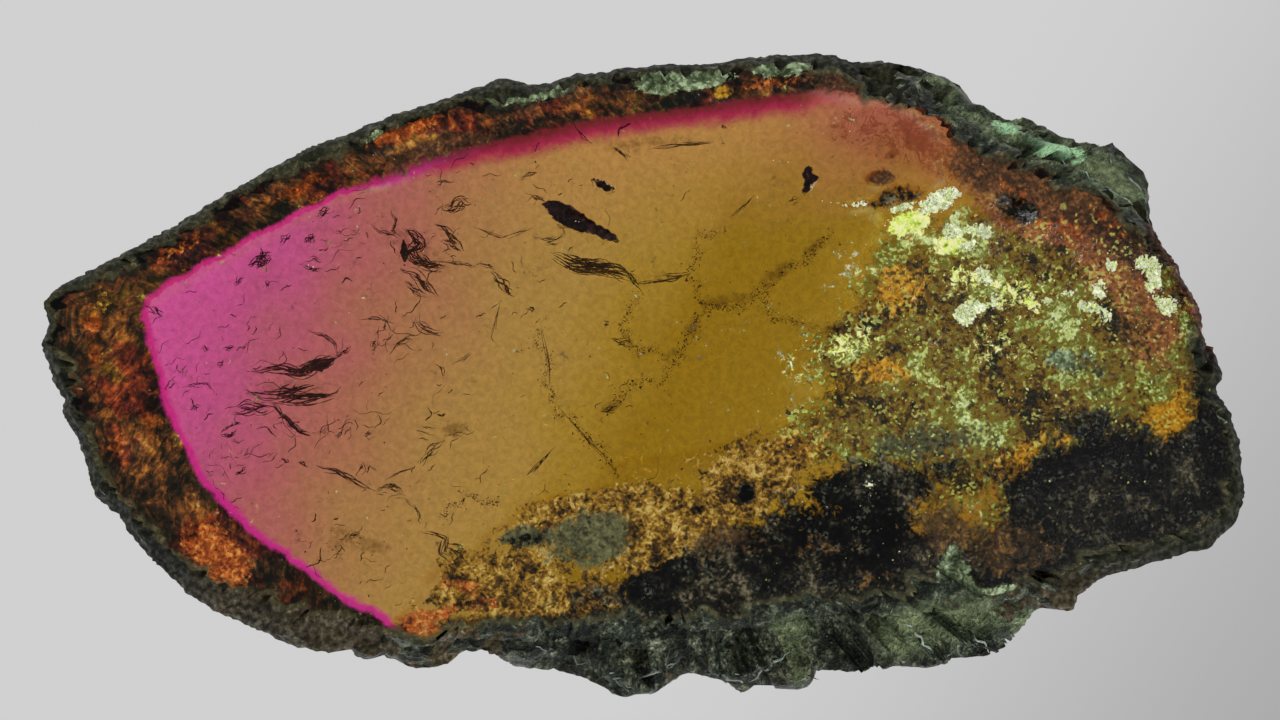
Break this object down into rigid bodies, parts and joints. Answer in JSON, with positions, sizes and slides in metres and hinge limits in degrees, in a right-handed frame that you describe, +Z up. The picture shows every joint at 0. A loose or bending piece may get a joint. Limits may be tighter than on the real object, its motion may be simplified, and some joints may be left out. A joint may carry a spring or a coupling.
{
  "type": "rough tourmaline slice",
  "caption": "Flat cut slice of a colour-zoned tourmaline crystal with striated prism walls, broken lower and upper right edges, and a pitted upper face.",
  "frame": {"origin": "middle of the slice's outline, on the surface that its lower cut face rests on", "axes": "+Z up, out of the upper cut face; +X along the slice from its blunt tip to its wide pitted end; +Y to the unbroken top edge"},
  "size_m": [0.036, 0.0192, 0.0042],
  "materials": {
    "tourmaline": "see-through colour-zoned crystal: flat cut faces above and below, magenta, dusty rose and golden olive core, mottled orange-brown rind, grey-green striated and broken walls"
  },
  "bodies": {
    "root": {"tourmaline_slice": "tourmaline"}
  },
  "joints": []
}
